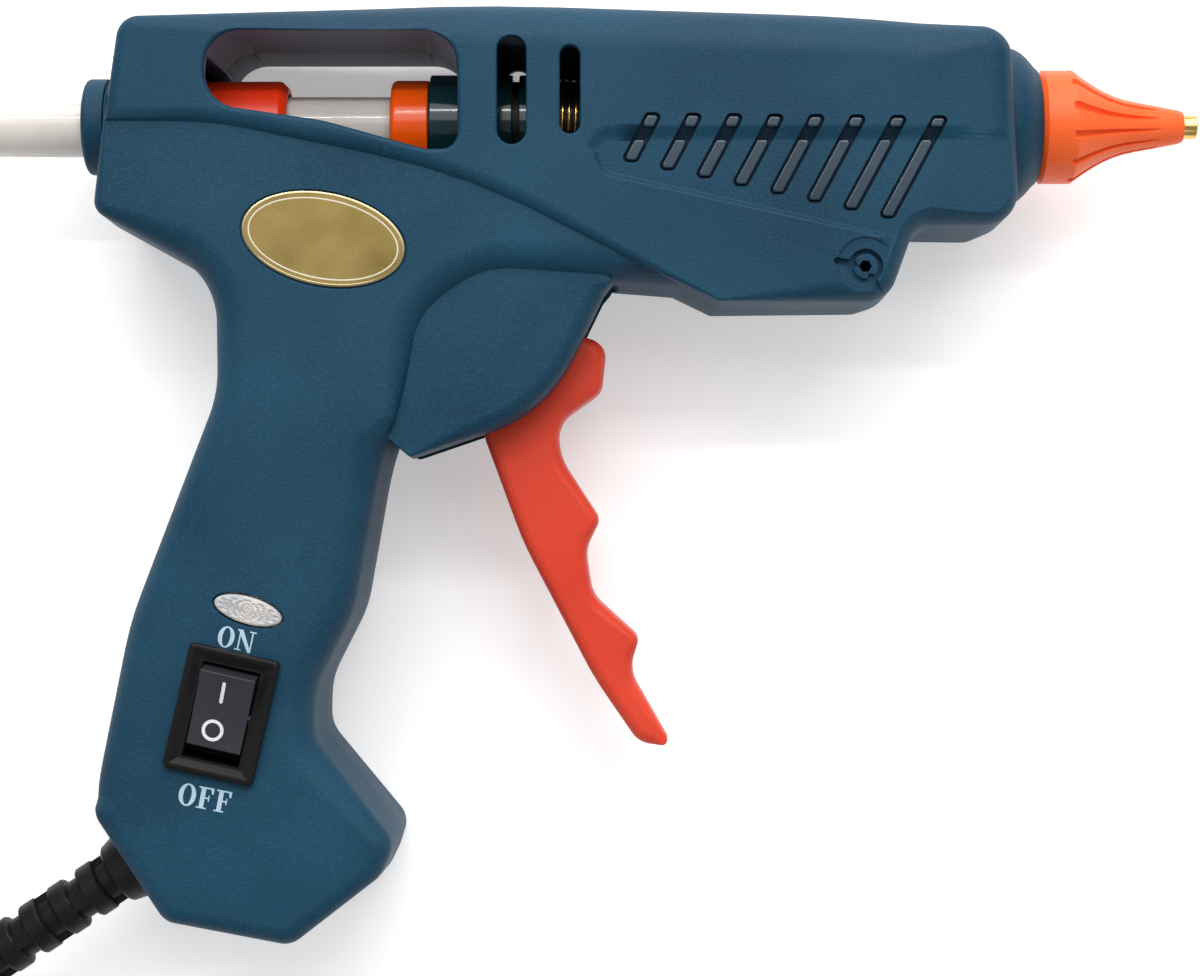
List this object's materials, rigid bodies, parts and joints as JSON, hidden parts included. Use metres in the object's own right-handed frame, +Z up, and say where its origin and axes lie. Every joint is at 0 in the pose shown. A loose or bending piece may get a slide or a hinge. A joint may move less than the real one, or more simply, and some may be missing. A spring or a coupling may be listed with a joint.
{
  "type": "hot glue applicator",
  "caption": "Corded hot glue applicator: moulded clamshell housing with a stick window, trigger feed linkage, heated chamber, fluted silicone nozzle cap, rocker switch and coiled lead.",
  "frame": {"origin": "on the bench, under the middle of the applicator without its free cord", "axes": "+X along the barrel towards the nozzle, +Y from the handle towards the barrel, +Z up from the bench through the housing halves"},
  "size_m": [0.3397, 0.2043, 0.0459],
  "materials": {
    "housing": "fine sparkle texture",
    "silicone": "satin",
    "carriage_plastic": "satin",
    "trigger_plastic": "satin",
    "dark_plastic": "satin",
    "switch_plastic": "semi-gloss",
    "glue": "translucent",
    "brass": "turned",
    "steel": "zinc plated",
    "cast_aluminium": "as cast",
    "ceramic": "matt",
    "gold": "satin foil",
    "lens": "clear",
    "cord_rubber": "matt",
    "pin_metal": "nickel plated"
  },
  "bodies": {
    "root": {"housing_right": "housing", "housing_left": "housing", "rear_guide_ring": "housing", "inlet_sleeve": "silicone", "inlet_tube": "dark_plastic", "retaining_collar": "dark_plastic", "sleeve_spring": "brass", "melt_chamber": "cast_aluminium", "chamber_ring_rear": "ceramic", "chamber_ring_front": "ceramic", "heater_plate": "ceramic", "heater_clip": "steel", "nozzle": "brass", "check_spring": "steel", "nozzle_sleeve": "silicone", "badge_plate": "gold", "indicator_lens": "lens", "indicator_lamp": "lens", "switch_body": "switch_plastic", "strain_relief": "cord_rubber", "cord_core": "cord_rubber", "cord_clamp": "dark_plastic", "clamp_screw_1": "steel", "clamp_screw_2": "steel", "trigger_pin": "steel", "return_spring": "steel", "cord_lead": "cord_rubber", "cord_coil": "cord_rubber", "cord_tail": "cord_rubber", "cord_tie": "cord_rubber", "plug_body": "cord_rubber", "plug_pin_1": "pin_metal", "plug_pin_2": "pin_metal", "housing_screw_1": "steel", "housing_screw_2": "steel", "housing_screw_3": "steel", "housing_screw_4": "steel", "housing_screw_5": "steel", "housing_screw_6": "steel", "housing_screw_7": "steel", "housing_screw_8": "steel"},
    "trigger": {"trigger": "trigger_plastic", "arm_pin": "steel"},
    "carriage": {"feed_carriage": "carriage_plastic", "link_pin": "steel", "pawl_pin": "steel"},
    "link": {"push_link": "steel"},
    "pawl": {"grip_pawl": "steel"},
    "stick": {"glue_stick": "glue"},
    "rocker": {"rocker": "switch_plastic"},
    "valve": {"check_ball": "steel"}
  },
  "joints": [
    {"name": "trigger_pull", "type": "hinge", "parent": "root", "child": "trigger", "pos_m": [-0.00834, 0.0342, 0.021], "axis": [0, 0, -1], "range_deg": [0, 22], "stiffness_Nm_per_rad": 0.6, "springref_deg": -17.19, "deforming": ["return_spring"]},
    {"name": "carriage_slide", "type": "slide", "parent": "root", "child": "carriage", "axis": [1, 0, 0], "range_m": [0, 0.0094]},
    {"name": "link_pivot", "type": "hinge", "parent": "trigger", "child": "link", "pos_m": [-0.01291, 0.05776, 0.021], "axis": [0, 0, -1], "range_deg": [-22.5, 0]},
    {"name": "pawl_pivot", "type": "hinge", "parent": "carriage", "child": "pawl", "pos_m": [-0.06421, 0.0607, 0.021], "axis": [0, 0, 1], "range_deg": [0, 4.5]},
    {"name": "stick_feed", "type": "slide", "parent": "root", "child": "stick", "axis": [1, 0, 0], "range_m": [-0.04, 0.018]},
    {"name": "rocker_press", "type": "hinge", "parent": "root", "child": "rocker", "pos_m": [-0.06092, -0.03559, 0.0415], "axis": [-0.9744, 0.225, 0], "range_deg": [0, 20]},
    {"name": "valve_lift", "type": "slide", "parent": "root", "child": "valve", "axis": [1, 0, 0], "range_m": [0, 0.001], "stiffness_N_per_m": 100, "springref_m": -0.002, "deforming": ["check_spring"]}
  ],
  "couplings": [
    {"joint": "carriage_slide", "follows": "trigger_pull", "m_per_rad": 0.023853},
    {"joint": "link_pivot", "follows": "trigger_pull", "ratio": -1},
    {"joint": "pawl_pivot", "follows": "trigger_pull", "ratio": 0.18}
  ]
}
